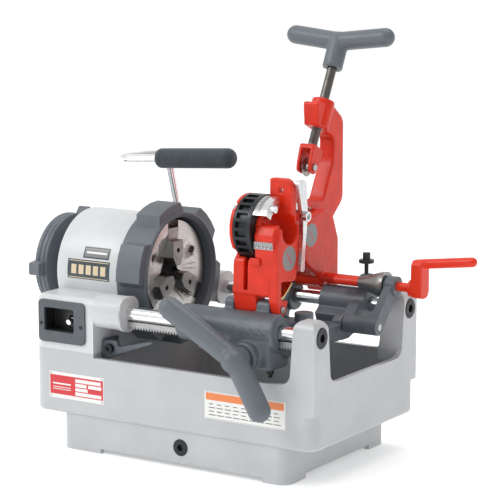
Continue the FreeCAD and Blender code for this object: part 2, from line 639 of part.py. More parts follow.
# ---------------------------------------------------------------- carriage
def carriage():
    front = rod("X", "hub_left", "hub_right", "-bar_y", "bar_z", "front_hub_radius")
    front = soften(front, 3, lambda c, e: e.BoundBox.YLength > 40)
    rear = [rod("X", 28, 47, "bar_y", "bar_z", "rear_hub_radius"),
            rod("X", 96, "hub_right", "bar_y", "bar_z", "rear_hub_radius")]
    deck = box(30, 162, -104, 106, 166, 176)
    ribs = [slab("X", 30, 40, (-112, 166), (112, 166), (118, 200, 4), (96, 200, 4), (70, 188, 10), (-70, 188, 10),
                 (-96, 200, 4), (-118, 200, 4)),
            slab("X", 154, 172, (-112, 170, 6), (60, 166, 10), (112, 184, 10), (122, 212, 8), (90, 212, 8),
                 (64, 190, 10), (-64, 190, 10), (-84, 214, 6), (-118, 214, 4))]
    apron = slab("X", 96, 172, (100, 166, 0), (124, 184, 10), (141, 196, 4), (120, 212, 0), (90, 190, 0))
    pinion_box = slab("X", 104, 168, (-147, 156, 6), (-98, 156, 6), (-98, 192, 0), (-147, 200, 6))
    boss = rod("Y", -160, -120, "pinion_x", "pinion_z", 20)
    boss = soften(boss, 2, lambda c, e: c.y < -159)
    ears = [ear(80, 94), ear(130.3, 151)]
    cut_ears = [cut_ear(30, 49.5), cut_ear(157, 170)]
    stop = rod("Z", 168, 227, 179, -76, 13)
    ream_lug = slab("X", 160, 174, (30, 190, 0), (30, 196, 0), (40, 202, 6), (54, 202, 6), (64, 196, 0),
                    (64, 180, 0))
    pads = [box(118 + 13 * n, 126 + 13 * n, -150, -140, 206, 212) for n in range(4)]
    whole = join_in_turn(front, *rear, deck, *ribs, apron, pinion_box, boss, *ears, *cut_ears, stop, ream_lug,
                         *pads)
    front_bore = rod("X", 0, 200, "-bar_y", "bar_z", "bar_radius + run_gap")
    rear_bore = rod("X", 0, 200, "bar_y", "bar_z", "bar_radius + run_gap")
    rack_way = box(0, 200, "-bar_y - 5.5", "-bar_y + 5.5", "pinion_z + 9", "bar_z")
    pinion_way = rod("Y", -130, -116, "pinion_x", "pinion_z", 14.5)
    shaft_way = rod("Y", -170, -104, "pinion_x", "pinion_z", "7 + run_gap")
    pins = [rod("X", 50, 170, "die_hinge_y", "die_hinge_z", "pin_radius"),
            rod("X", 20, 180, "cut_hinge_y", "cut_hinge_z", "pin_radius"),
            rod("X", 156, 180, "ream_pivot_y", "ream_pivot_z", "pin_radius")]
    bar_gap = box(47, 96, 96, 150, 180, 232)
    knuckle_ways = [rod("X", low, high, "die_hinge_y", "die_hinge_z", 10.3)
                    for low, high in ((94, 130.3), (151, 173))]
    node("carriage", cut(whole, front_bore, rear_bore, rack_way, pinion_way, shaft_way, bar_gap,
                         *knuckle_ways, *pins))
    node("die_head_hinge_pin", rod("X", 81, 166, "die_hinge_y", "die_hinge_z", "pin_radius"))
    node("cutter_hinge_pin", rod("X", 31, 169, "cut_hinge_y", "cut_hinge_z", "pin_radius"))
    node("reamer_pivot_pin", rod("X", 162, 229, "ream_pivot_y", "ream_pivot_z", "pin_radius"))
    screw = join(rod("Z", 149, 156, 158, -128, 5), rod("Z", 144, 149, 158, -128, 3))
    node("housing_screw", screw)
    knob = join(rod("Z", "cut_hinge_z + 12.5", 264, 163, 124, 3), rod("Z", 264, 269, 163, 124, 11),
                rod("Z", 269, 279, 163, 124, 5.5))
    node("hinge_lock_knob", knob)


def ear(left, right):
    y, z = dim("die_hinge_y"), dim("die_hinge_z")
    return slab("X", left, right, (y - 14, z - 25, 0), (y - 12, z + 12, 8), (y + 12, z + 12, 8),
                (y + 16, z - 25, 0))


def cut_ear(left, right):
    y, z = dim("cut_hinge_y"), dim("cut_hinge_z")
    return slab("X", left, right, (y - 15, z - 22, 0), (y - 12, z + 12.5, 9), (y + 12, z + 12.5, 9),
                (y + 15, z - 22, 0))


def feed_drive():
    gear_turn = 90.0
    pinion = gear("Y", -128, 10, dim("pinion_x"), dim("pinion_z"), int(dim("pinion_teeth")), 7, gear_turn)
    shaft = rod("Y", -178, -105, "pinion_x", "pinion_z", 7)
    node("pinion_shaft", join(shaft, pinion))
    x, z = dim("pinion_x"), dim("pinion_z")
    hub = join(rod("Y", -186, -163, x, z, 17), ball(x, -184, z, 16))
    upper, lower = (x - 106, -176, z + 59), (x + 42, -184, z - 62)
    arms = []
    for tip in (upper, lower):
        arms += [rod_between((x, -176, z), tip, 15.5), ball(*tip, 15.5)]
    node("feed_handle", cut(join(hub, *arms), rod("Y", -178, -150, x, z, 7), rod("Y", -164, -120, x, z, 22)))


# ---------------------------------------------------------------- die head
def die_centre():
    """Centre of the raised head: the spindle axis turned up about the die head's hinge."""
    y, z = dim("die_hinge_y"), dim("die_hinge_z")
    reach = math.hypot(-y, dim("spindle_z") - z)
    angle = math.radians(dim("die_lift"))
    return y + reach * math.cos(angle), z + reach * math.sin(angle)


def die_head():
    """Raised die head: two feet on the hinge pin, arm, round head, saddle, and a flat tab on top."""
    y, z = dim("die_hinge_y"), dim("die_hinge_z")
    cy, cz = die_centre()
    left_foot = join(rod("X", 94.4, 129.9, y, z, 9.6),
                     slab("X", 94.4, 129.9, (y - 9.6, z), (y + 9.6, z), (y + 16, z + 28), (y - 16, z + 28)))
    right_foot = join(rod("X", 151.4, "die_right", y, z, 9.6),
                      slab("X", 151.4, "die_right", (y - 9.6, z, 0), (y + 9.6, z, 0), (y + 15, z + 11, 3),
                           (y - 3, z + 13, 2), (y - 3, z + 44, 0), (y - 14, z + 44, 0), (y - 14, z + 12, 6)))
    arm = slab("X", "die_left - 1", 152, (y - 16, z + 18, 4), (y + 16, z + 18, 3), (y + 52, z + 34, 8),
               (y + 60, z + 66, 10), (cy + 42, cz, 8), (cy + 2, cz, 0), (cy - 14, cz - 30, 0), (y - 14, z + 66, 10))
    cheek = slab("X", 150, "die_right", (y - 14, z + 39, 4), (y + 32, z + 35, 6), (y + 42, z + 59, 8),
                 (cy + 33, cz + 4, 10), (cy - 24, cz + 4, 12), (y - 14, z + 85, 10))
    head = rod("X", "die_left", "cam_right", cy, cz, "head_radius")
    core = rod("X", "die_left", 134, cy, cz, "head_core")
    saddle = slab("X", 130, 160, (cy - 33, cz - 45, 0), (cy - 37, cz - 6, 8), (cy - 29, cz + 8, 8),
                  (cy + 33, cz + 8, 10), (cy + 36, cz - 45, 0))
    gusset = slab("X", 131, 162, (cy + 4, cz + 28, 0), (cy + 9, cz + 29, 0), (cy + 17, cz + 25, 0),
                  (cy + 25, cz - 5, 0), (cy + 10, cz - 5, 0))
    tab = slab("Y", cy + 3, cy + 15, (130, cz, 0), (130, 407, 3), ("die_right", 407, 14),
               ("die_right", cz, 0))
    cam_room = cut(rod("X", "cam_left", "cam_right", cy, cz, "head_radius + 1"),
                   box(80, 180, cy - 3, cy + 70, z, cz + 17), rod("X", 80, 180, cy, cz, "head_core"))
    bore = rod("X", 60, 200, cy, cz, "head_bore")
    slit = slab("X", 112, 118, (y - 30, z + 25, 2), (y + 20, z + 25, 2), (y + 20, z + 73, 2),
                (y - 30, z + 73, 2))
    latch_window = box(140, 153, y - 3, y + 28, z + 13, z + 34)
    pin_way = rod("X", 50, 170, y, z, "pin_radius + run_gap")
    tab_hole = rod("Y", cy - 10, cy + 30, 147, 391, 3.6)
    slots = []
    for n in range(4):
        half = dim("die_width") / 2 + dim("slot_gap")
        slots.append(turned_block(90, 99.3, cy, cz, 45 + 90 * n, (10, -half), (50, -half), (50, half),
                                  (10, half)))
    body = join_in_turn(left_foot, right_foot, arm, cheek, head, core, saddle, gusset, tab)
    node("die_head_body", cut(body, cam_room, bore, slit, latch_window, pin_way, tab_hole, *slots))
    for n in range(4):
        block = slab("X", 91, 99, (13, -4.2, 0), (17, -5, 0), (38, -5, 0), (38, 5, 0), (17, 5, 0),
                     (13, 4.2, 0))
        turn = FreeCAD.Rotation(FreeCAD.Vector(1, 0, 0), 45 + 90 * n)
        node(f"die_{n + 1}", block, place=FreeCAD.Placement(FreeCAD.Vector(0, cy, cz), turn))
    cam_ring(cy, cz)
    die_head_lever(cy, cz)


def on_circle(cy, cz, radius, angle):
    """Point of a circle in the Y-Z plane; the angle runs from +Y towards +Z."""
    return cy + radius * math.cos(math.radians(angle)), cz + radius * math.sin(math.radians(angle))


def wedge(start, end, cy, cz, low, high):
    """Slab along X that fills a circle's sector from one angle to another."""
    steps = max(2, math.ceil((high - low) / 45) + 1)
    rim = [on_circle(cy, cz, 110, low + (high - low) * n / (steps - 1)) for n in range(steps)]
    return slab("X", start, end, (cy, cz), *rim)


def turned_block(start, end, cy, cz, angle, *corners):
    """Slab along X; its (out, across) corners are turned to a direction about (cy, cz)."""
    c, s = math.cos(math.radians(angle)), math.sin(math.radians(angle))
    turned = [(cy + c * out - s * across, cz + s * out + c * across) for out, across in corners]
    return slab("X", start, end, *turned)


def cam_ring(cy, cz):
    """Notched sector that turns on the head's core and moves the dies."""
    sector = rod("X", "cam_left + slot_gap", "cam_right - slot_gap", cy, cz, "head_radius")
    hole = rod("X", 80, 160, cy, cz, "head_core + run_gap")
    gap = wedge(90, 140, cy, cz, 250, 398)
    radius = dim("head_radius")
    notches = [turned_block(105, 122, cy, cz, 106 + 16 * n, (radius - 5, -4), (radius + 5, -4),
                            (radius + 5, 4), (radius - 5, 4)) for n in range(8)]
    node("die_cam_ring", cut(sector, hole, gap, *notches))


def die_head_lever(cy, cz):
    """Bright selector plate on the cam, joined by a bar behind the tab to a long hand lever."""
    core = rod("X", 120, 160, cy, cz, "head_core + run_gap")
    plate, link = [overlap(rod("X", "cam_right - slot_gap", end, cy, cz, "head_radius - 1"),
                           wedge(120, 152, cy, cz, low, 150)) for end, low in ((149.7, 96), (129.8, 38))]
    bolt = rod("X", 149, 157, *on_circle(cy, cz, 38, 130), 5)
    bar = turned_block("cam_right - slot_gap", 171.5, cy, cz, 42, (32, -3.5), (44, -3.5), (44, 3.5),
                       (32, 3.5))
    strip = slab("X", 165.5, 171.5, (cy + 8, 404, 4), (cy + 22, cz + 12, 6), (cy + 22, cz - 14, 6),
                 (cy + 15, 280, 4), (cy + 26, 280, 4), (cy + 29, cz - 22, 10), (cy + 34, cz + 14, 20),
                 (cy + 30, 404, 6))
    boss = rod("X", 171, 177, cy + 27, cz + 15, 7)
    socket = rod("X", 174, 178, cy + 27, cz + 15, 4)
    lever = join_in_turn(cut(plate, core), cut(link, core), bolt, bar, strip, boss)
    node("die_head_lever", cut(lever, socket))


# ---------------------------------------------------------------- pipe cutter
def cutter():
    """Raised cutter. Pieces on its screw are drawn upright over the pipe and then tilted."""
    x = dim("cut_x")
    y, z = dim("cut_pipe_y"), dim("cut_pipe_z")
    tilt = raised(y, z, -dim("cut_tilt"))
    hy, hz = dim("cut_hinge_y"), dim("cut_hinge_z")
    frame = slab("X", x - 12.5, x + 12.5,
                 (y + 28, z + 131, 4), (y + 76, z + 120, 20), (y + 103, z + 100, 18), (y + 103, z - 20, 18),
                 (hy + 41, hz + 64, 12), (hy, hz + 74, 8), (y - 20, z - 42, 6), (y - 42, z - 22, 8),
                 (y - 34, z - 2, 4), (y + 44, z - 16, 10), (y + 74, z + 40, 40), (y + 76, z + 76, 14),
                 (y + 30, z + 96, 3))
    boss = tilted(tilt, rod("Z", z + 102, z + 144, x, y, 17))
    arm = slab("X", x - 10, x + 32, (hy - 15, hz + 2, 4), (hy - 50, hz + 28, 10), (hy - 54, hz + 66, 12),
               (hy - 36, hz + 94, 12), (hy, hz + 100, 8), (hy + 26, hz + 90, 8), (hy + 42, hz + 52, 10),
               (hy + 42, hz - 20, 8), (hy + 26, hz - 28, 6), (hy + 14, hz - 8, 4))
    pipe_room = slab("X", x - 14, x + 14, (y - 60, z - 30), (y + 36, z - 30), (y + 36, z + 60),
                     (y - 60, z + 60))
    barrel = rod("X", 50, 156, "cut_hinge_y", "cut_hinge_z", 7.6)
    knuckle = rod("X", 50, 92, "cut_hinge_y", "cut_hinge_z", 15)
    roller_room = slab("X", x - 8.3, x + 8.3, (y - 60, z - 32), (y + 31, z - 32), (y + 31, z - 1),
                       (y - 60, z - 1))
    pin_holes = [rod("X", x - 20, x + 20, y + side * 17, z - 19, 4) for side in (-1, 1)]
    screw_hole = rod("Z", z + 90, z + 160, x, y, "screw_radius + run_gap")
    tilted_tools = tilted(tilt, roller_room, screw_hole, *pin_holes)
    whole = join(frame, boss, cut(arm, tilted(tilt, pipe_room)), barrel, knuckle)
    node("cutter_frame", cut(whole, tilted_tools, rod("X", 20, 180, hy, hz, "pin_radius + run_gap"),
                             rod("X", 20, 180, "bar_y", "bar_z", 13.5)))
    for n, side in enumerate((-1, 1), start=1):
        roller = lathe("X", y + side * 17, z - 19, (x - 8, 4.05, 0), (x - 8, 8, 1), (x + 8, 8, 1),
                       (x + 8, 4.05, 0))
        node(f"cutter_roller_{n}", roller, place=tilt)
    pins = [rod("X", x - 13, x + 13, y + side * 17, z - 19, 4) for side in (-1, 1)]
    node("cutter_roller_pins", *pins, place=tilt)
    axle = z + 40
    plate = slab("X", x - 12, x + 12, (y - 14, axle + 32, 3), (y + 14, axle + 32, 3), (y + 15, axle + 24, 0),
                 (y - 15, axle + 24, 0))
    cheeks = [slab("X", left, left + 4.5, (y - 15, axle + 26, 0), (y + 15, axle + 26, 0),
                   (y + 12, axle + 4, 4), (y + 8, axle - 9, 6), (y - 8, axle - 9, 6), (y - 12, axle + 4, 4))
              for left in (x - 12, x + 7.5)]
    holder = cut(join(plate, *cheeks), rod("X", x - 20, x + 20, y, axle, 3),
                 rod("Z", axle + 26, axle + 40, x, y, "5 + run_gap"))
    node("cutter_holder", holder, place=tilt)
    wheel = lathe("X", y, axle, (x - 7, 3.05, 0), (x - 7, 6, 0), (x - 2, 6.5, 0), (x, 14, 0), (x + 2, 6.5, 0),
                  (x + 7, 6, 0), (x + 7, 3.05, 0))
    node("cutter_wheel", wheel, place=tilt)
    pin = join(rod("X", x - 13, x + 13, y, axle, 3), rod("X", x + 12, x + 15, y, axle, 5))
    node("wheel_pin", pin, place=tilt)
    screw = join(rod("Z", axle + 32.3, z + 206, x, y, "screw_radius"), rod("Z", axle + 26.3, axle + 33, x, y, 5))
    node("cutter_screw", screw, place=tilt)
    t_handle(x, y, z, tilt)


def tilted(placement, *pieces):
    """Upright pieces as one group in the tilted position."""
    whole = doc.addObject("Part::Compound", "tilted")
    whole.Links = list(pieces)
    whole.Placement = placement
    return whole


def t_handle(x, y, z, tilt):
    foot, middle = z + 196, z + 239
    neck = cut(rod("Z", foot, middle, x, y, 15), rod("Z", foot - 5, z + 206, x, y, "screw_radius"))
    arms = []
    for side in (-1, 1):
        tip = (x + side * 76, y, middle + 9)
        arms += [rod_between((x, y, middle), tip, 14), ball(*tip, 14)]
    node("t_handle", join(neck, ball(x, y, middle, 15), *arms), place=tilt)


# ---------------------------------------------------------------- reamer
def reamer():
    """Reamer laid out to the rear: swing arm, fluted cone on a long bar, and a crank."""
    py, pz, y, z = dim("ream_pivot_y"), dim("ream_pivot_z"), dim("ream_y"), dim("ream_z")
    along = FreeCAD.Vector(0, y - py, z - pz).normalize()
    side = FreeCAD.Vector(0, -along.z, along.y) * 11
    corners = [(py + side.y, pz + side.z), (y + side.y, z + side.z), (y - side.y, z - side.z),
               (py - side.y, pz - side.z)]
    arm = join(slab("X", 215, 227, *corners), rod("X", 174.5, 228, py, pz, 12), rod("X", 213.5, 230, y, z, 14))
    node("reamer_arm", cut(arm, rod("X", 150, 240, py, pz, "pin_radius + run_gap"),
                           rod("X", 150, 240, y, z, "6.5 + run_gap")))
    cone = join(taper("X", 168, 206, y, z, 7, 19), rod("X", 206, 213, y, z, 19))
    flutes = []
    for n in range(5):
        flute = shape("Part::Box", Length=60, Width=11, Height=14)
        spin = FreeCAD.Rotation(FreeCAD.Vector(1, 0, 0), 72 * n + 10)
        lean = FreeCAD.Rotation(FreeCAD.Vector(0, 1, 0), -17.5)
        turn = spin.multiply(lean)
        corner = FreeCAD.Vector(158, y, z) + turn.multVec(FreeCAD.Vector(0, 1, 6))
        flute.Placement = FreeCAD.Placement(corner, turn)
        flutes.append(flute)
    node("reamer_cone", cut(cone, rod("X", 160, 220, y, z, 6.5), *flutes))
    shaft = rod("X", 128, 262, y, z, 6.5)
    web = slab("X", 256, 273, (y - 13, z - 13.5, 11), (y + 13, z - 13.5, 11), (y + 12, z + 41, 9),
               (y - 12, z + 41, 9))
    grip = rod_between((264, y, z + 35), (345, y, z + 45), 7)
    crank = join_in_turn(shaft, web, grip, ball(345, y, z + 45, 7), rod("X", 250, 258, y, z, 12.5))
    node("reamer_crank", crank)


def check_and_write():
    doc.recompute()
    broken = [o.Label for o in doc.Objects if "Invalid" in o.State or "Error" in o.State]
    if broken:
        raise SystemExit(f"failed objects: {broken}")
    os.makedirs("parts", exist_ok=True)
    box_all = FreeCAD.BoundBox()
    for name, obj in nodes.items():
        if obj.Shape.isNull() or not obj.Shape.isValid() or not obj.Shape.Solids:
            raise SystemExit(f"{name} is not a valid solid")
        obj.Shape.exportStep(f"parts/{name}.step")
        box_all.add(obj.Shape.BoundBox)
        print(f"{name:22s} solids {len(obj.Shape.Solids)}  volume {obj.Shape.Volume / 1000:9.1f} cm3")
    print(len(nodes), "nodes;", box_all)


base_casting()
headstock_case()
guide_bars()
switch_set()
base_fittings()
carry_handle()
drive()
front_chuck()
rear_chuck()
carriage()
feed_drive()
die_head()
cutter()
reamer()
check_and_write()
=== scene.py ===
"""Looks of a bench pipe threading machine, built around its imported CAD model.

Everything is in metres, in the part's frame: X runs along the spindle, -Y faces the operator, Z is up.
`spot` takes millimetres from the machine's centre: X from the middle of the base, Y from the spindle
axis, Z from the bench.
"""
import json
import math

import bmesh
import bpy
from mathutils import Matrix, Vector


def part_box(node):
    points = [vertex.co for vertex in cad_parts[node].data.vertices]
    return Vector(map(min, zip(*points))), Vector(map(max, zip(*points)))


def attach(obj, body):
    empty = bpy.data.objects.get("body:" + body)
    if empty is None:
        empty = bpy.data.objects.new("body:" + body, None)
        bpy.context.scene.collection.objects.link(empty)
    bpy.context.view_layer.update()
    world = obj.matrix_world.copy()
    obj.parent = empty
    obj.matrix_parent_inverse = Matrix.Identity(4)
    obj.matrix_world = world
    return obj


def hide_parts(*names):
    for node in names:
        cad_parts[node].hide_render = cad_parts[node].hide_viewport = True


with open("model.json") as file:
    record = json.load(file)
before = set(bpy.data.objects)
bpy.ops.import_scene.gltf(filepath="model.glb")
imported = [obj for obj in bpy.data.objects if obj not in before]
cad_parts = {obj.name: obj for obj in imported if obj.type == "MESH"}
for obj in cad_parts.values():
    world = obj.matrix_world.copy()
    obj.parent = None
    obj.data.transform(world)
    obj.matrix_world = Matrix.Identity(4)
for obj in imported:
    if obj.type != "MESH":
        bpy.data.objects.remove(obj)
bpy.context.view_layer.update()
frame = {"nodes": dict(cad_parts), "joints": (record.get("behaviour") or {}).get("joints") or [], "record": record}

MM = 0.001
NODES = frame["nodes"]
JOINTS = {joint["name"]: joint for joint in frame["joints"]}
RECORD = frame["record"]


def joint_point(name):
    return Vector(JOINTS[name]["pos_m"])


def joint_axis(name):
    return Vector(JOINTS[name]["axis"]).normalized()


BASE_LOW, BASE_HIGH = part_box("base_casting")
ZERO = Vector(((BASE_LOW.x + BASE_HIGH.x) / 2, joint_point("spindle_spin").y, 0))
SPINDLE = joint_point("spindle_spin")


def spot(x, y, z):
    return ZERO + Vector((x, y, z)) * MM


# ---------------------------------------------------------------- materials
EVENLY, ALONG_X = (1, 1, 1), (0.04, 1, 1)
NOISE_SPAN = (0.3, 0.7)  # nearly all values of a noise lie between these


def add(tree, kind, inputs=None, **settings):
    """A shader node; an input's value may be a number, a colour or another node's socket."""
    made = tree.nodes.new(kind)
    for name, value in settings.items():
        setattr(made, name, value)
    for key, value in (inputs or {}).items():
        if isinstance(value, bpy.types.NodeSocket):
            tree.links.new(value, made.inputs[key])
        else:
            made.inputs[key].default_value = value
    return made


def start(name, metallic=0.0, **constants):
    """A new material with its shader, and the object's own coordinates in metres."""
    made = bpy.data.materials.new(name)
    made.use_nodes = True
    tree = made.node_tree
    shader = tree.nodes["Principled BSDF"]
    shader.inputs["Metallic"].default_value = metallic
    for socket, value in constants.items():
        shader.inputs[socket.replace("_", " ")].default_value = value
    where = add(tree, "ShaderNodeTexCoord").outputs["Object"]
    return made, tree, shader, where


def clouds(tree, where, size, detail=3.0, stretch=EVENLY):
    """Soft noise from 0 to 1 whose blotches are about `size` millimetres across."""
    if stretch != EVENLY:
        where = add(tree, "ShaderNodeMapping", {"Vector": where, "Scale": stretch}).outputs[0]
    noise = add(tree, "ShaderNodeTexNoise", {"Vector": where, "Scale": 1 / (size * MM), "Detail": detail,
                                             "Roughness": 0.55})
    return noise.outputs["Fac"]


def span(tree, value, low, high, to_low, to_high):
    """The value's stretch from low to high, turned into to_low to to_high."""
    limits = {"Value": value, "From Min": low, "From Max": high, "To Min": to_low, "To Max": to_high}
    return add(tree, "ShaderNodeMapRange", limits).outputs["Result"]


def blend(tree, share, first, second):
    """Colours or sockets mixed by a share from 0 to 1."""
    return add(tree, "ShaderNodeMix", {"Factor": share, 6: first, 7: second}, data_type="RGBA").outputs[2]


def times(tree, first, second):
    return add(tree, "ShaderNodeMath", {0: first, 1: second}, operation="MULTIPLY").outputs[0]


def tone(colour, factor):
    return (*[min(1.0, channel * factor) for channel in colour], 1.0)


def mottle(tree, noise, colour, dark, light):
    """The colour, wandering between two of its tones as the noise does."""
    return blend(tree, span(tree, noise, *NOISE_SPAN, 0.0, 1.0), tone(colour, dark), tone(colour, light))


def bumps(tree, shader, *layers):
    """Bump layers as (height socket, depth in millimetres), laid one over another."""
    normal = None
    for height, depth in layers:
        inputs = {"Height": height, "Strength": 1.0, "Distance": depth * MM}
        if normal is not None:
            inputs["Normal"] = normal
        normal = add(tree, "ShaderNodeBump", inputs).outputs["Normal"]
    tree.links.new(normal, shader.inputs["Normal"])


def worn_edges(tree, where, wear):
    """A mask of the edges that hands and tools have rubbed, broken up by noise."""
    point = add(tree, "ShaderNodeNewGeometry").outputs["Pointiness"]
    edges = times(tree, span(tree, point, 0.56, 0.66, 0.0, 1.0),
                  span(tree, clouds(tree, where, 6), 0.42, 0.62, 0.0, 1.0))
    return times(tree, edges, wear)


def paint(name, colour, under, peel=0.05, rough=(0.34, 0.46), coat=0.25, gloss=0.5):
    """Sprayed enamel: orange peel, faint mottling, and edges rubbed to the tone beneath."""
    made, tree, shader, where = start(name, Coat_Weight=coat, Coat_Roughness=0.22, Specular_IOR_Level=gloss)
    mottled = mottle(tree, clouds(tree, where, 55), colour, 0.93, 1.04)
    specked = blend(tree, span(tree, clouds(tree, where, 0.9, 2), 0.62, 0.72, 0.0, 0.35), mottled,
                    tone(colour, 0.82))
    edges = worn_edges(tree, where, 0.35)
    tree.links.new(blend(tree, edges, specked, (*under, 1.0)), shader.inputs["Base Color"])
    tree.links.new(span(tree, clouds(tree, where, 14), *NOISE_SPAN, *rough), shader.inputs["Roughness"])
    bumps(tree, shader, (clouds(tree, where, 1.9, 2), peel), (clouds(tree, where, 18, 2), peel * 3))
    return made


def painted_casting(name, colour, under, grain=0.16, rough=(0.38, 0.55), wear=0.5, coat=0.12, gloss=0.5):
    """Enamel over sand-cast iron: the grain of the mould shows through the paint."""
    made, tree, shader, where = start(name, Coat_Weight=coat, Coat_Roughness=0.3, Specular_IOR_Level=gloss)
    mottled = mottle(tree, clouds(tree, where, 24), colour, 0.86, 1.08)
    pores = span(tree, clouds(tree, where, 1.3, 4), 0.3, 0.42, 1.0, 0.0)
    dotted = blend(tree, times(tree, pores, 0.45), mottled, tone(colour, 0.5))
    edges = worn_edges(tree, where, wear)
    tree.links.new(blend(tree, edges, dotted, (*under, 1.0)), shader.inputs["Base Color"])
    tree.links.new(span(tree, clouds(tree, where, 7), *NOISE_SPAN, *rough), shader.inputs["Roughness"])
    bumps(tree, shader, (clouds(tree, where, 1.6, 4), grain), (clouds(tree, where, 9, 2), grain * 2.5))
    return made


def turned_metal(name, colour, rough, axis_point, rings=900.0):
    """Steel faced on a lathe about a line along X: fine rings of tone, gloss and height."""
    made, tree, shader, where = start(name, metallic=1.0)
    centre = (0, axis_point.y, axis_point.z)
    flat = add(tree, "ShaderNodeVectorMath", {0: where, 1: centre}, operation="SUBTRACT").outputs[0]
    flat = add(tree, "ShaderNodeVectorMath", {0: flat, 1: (0, 1, 1)}, operation="MULTIPLY").outputs[0]
    radius = add(tree, "ShaderNodeVectorMath", {0: flat}, operation="LENGTH").outputs["Value"]
    turning = add(tree, "ShaderNodeTexNoise", {"W": radius, "Scale": rings, "Detail": 2.0},
                  noise_dimensions="1D").outputs["Fac"]
    toned = mottle(tree, turning, colour, 0.82, 1.1)
    stains = span(tree, clouds(tree, where, 16), 0.35, 0.7, 0.0, 0.35)
    tree.links.new(blend(tree, stains, toned, tone(colour, 0.6)), shader.inputs["Base Color"])
    tree.links.new(span(tree, turning, *NOISE_SPAN, *rough), shader.inputs["Roughness"])
    bumps(tree, shader, (turning, 0.012))
    return made


def drawn_metal(name, colour, rough, stretch, size=2.0, depth=0.01, stain=0.3, metallic=1.0):
    """Ground or drawn steel: streaks along one direction, with faint oily stains."""
    made, tree, shader, where = start(name, metallic=metallic)
    streak = clouds(tree, where, size, 3, stretch)
    toned = mottle(tree, streak, colour, 0.85, 1.08)
    stains = span(tree, clouds(tree, where, 9, 4), 0.5, 0.75, 0.0, stain)
    tree.links.new(blend(tree, stains, toned, tone(colour, 0.5)), shader.inputs["Base Color"])
    tree.links.new(span(tree, clouds(tree, where, 5, 3), *NOISE_SPAN, *rough), shader.inputs["Roughness"])
    bumps(tree, shader, (streak, depth))
    return made


def foam_grip(name, colour):
    """Closed-cell grip foam: a matt skin of tiny cells with a soft sheen."""
    made, tree, shader, where = start(name, Sheen_Weight=0.25, Sheen_Roughness=0.5)
    cells = add(tree, "ShaderNodeTexVoronoi", {"Vector": where, "Scale": 1300.0}).outputs["Distance"]
    shade = mottle(tree, clouds(tree, where, 11), colour, 0.8, 1.25)
    dotted = blend(tree, span(tree, cells, 0.0, 0.5, 0.35, 0.0), shade, tone(colour, 0.5))
    tree.links.new(dotted, shader.inputs["Base Color"])
    tree.links.new(span(tree, clouds(tree, where, 4), *NOISE_SPAN, 0.62, 0.8), shader.inputs["Roughness"])
    bumps(tree, shader, (cells, 0.12), (clouds(tree, where, 6, 2), 0.2))
    return made


def moulded_plastic(name, colour, rough=(0.42, 0.55)):
    """Textured injection moulding."""
    made, tree, shader, where = start(name)
    tree.links.new(mottle(tree, clouds(tree, where, 20), colour, 0.88, 1.1), shader.inputs["Base Color"])
    tree.links.new(span(tree, clouds(tree, where, 3), *NOISE_SPAN, *rough), shader.inputs["Roughness"])
    bumps(tree, shader, (clouds(tree, where, 0.5, 2), 0.03))
    return made


def ink(name, colour):
    """Printed film: almost even colour under a clear layer, with the faint grain of the print."""
    made, tree, shader, where = start(name, Coat_Weight=0.4, Coat_Roughness=0.15)
    tree.links.new(mottle(tree, clouds(tree, where, 0.4, 2), colour, 0.93, 1.03), shader.inputs["Base Color"])
    tree.links.new(span(tree, clouds(tree, where, 8), *NOISE_SPAN, 0.27, 0.4), shader.inputs["Roughness"])
    bumps(tree, shader, (clouds(tree, where, 3, 2), 0.02))
    return made


